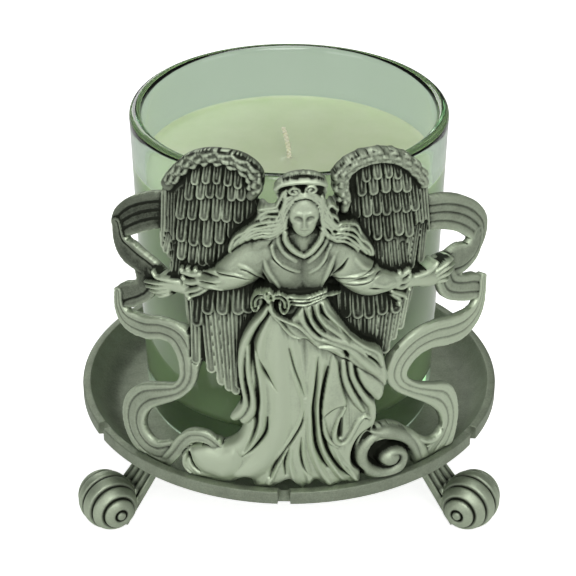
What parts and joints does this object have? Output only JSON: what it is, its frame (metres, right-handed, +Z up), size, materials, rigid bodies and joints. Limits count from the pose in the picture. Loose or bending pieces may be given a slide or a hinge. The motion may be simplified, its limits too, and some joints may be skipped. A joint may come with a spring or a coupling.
{
  "type": "angel candle holder",
  "caption": "Footed cast pewter tray with a pierced angel relief on its rim, holding a clear glass tumbler poured with a pale wax candle.",
  "frame": {"origin": "centre of the object's footprint box, on the surface that the three feet stand on", "axes": "+Z up; -Y is the front, where the angel stands and looks out; +X is to the right of someone who looks at the angel"},
  "size_m": [0.1224, 0.1322, 0.1316],
  "materials": {
    "antique_pewter": "satin",
    "clear_glass": "gloss",
    "wax": "satin",
    "wick_cotton": "matte",
    "tinned_sheet": "satin"
  },
  "bodies": {
    "root": {"tray": "antique_pewter", "angel_plaque": "antique_pewter", "foot_front_left": "antique_pewter", "foot_front_right": "antique_pewter", "foot_back": "antique_pewter", "glass_cup": "clear_glass", "candle_wax": "wax", "wick": "wick_cotton", "wick_sustainer": "tinned_sheet"}
  },
  "joints": []
}
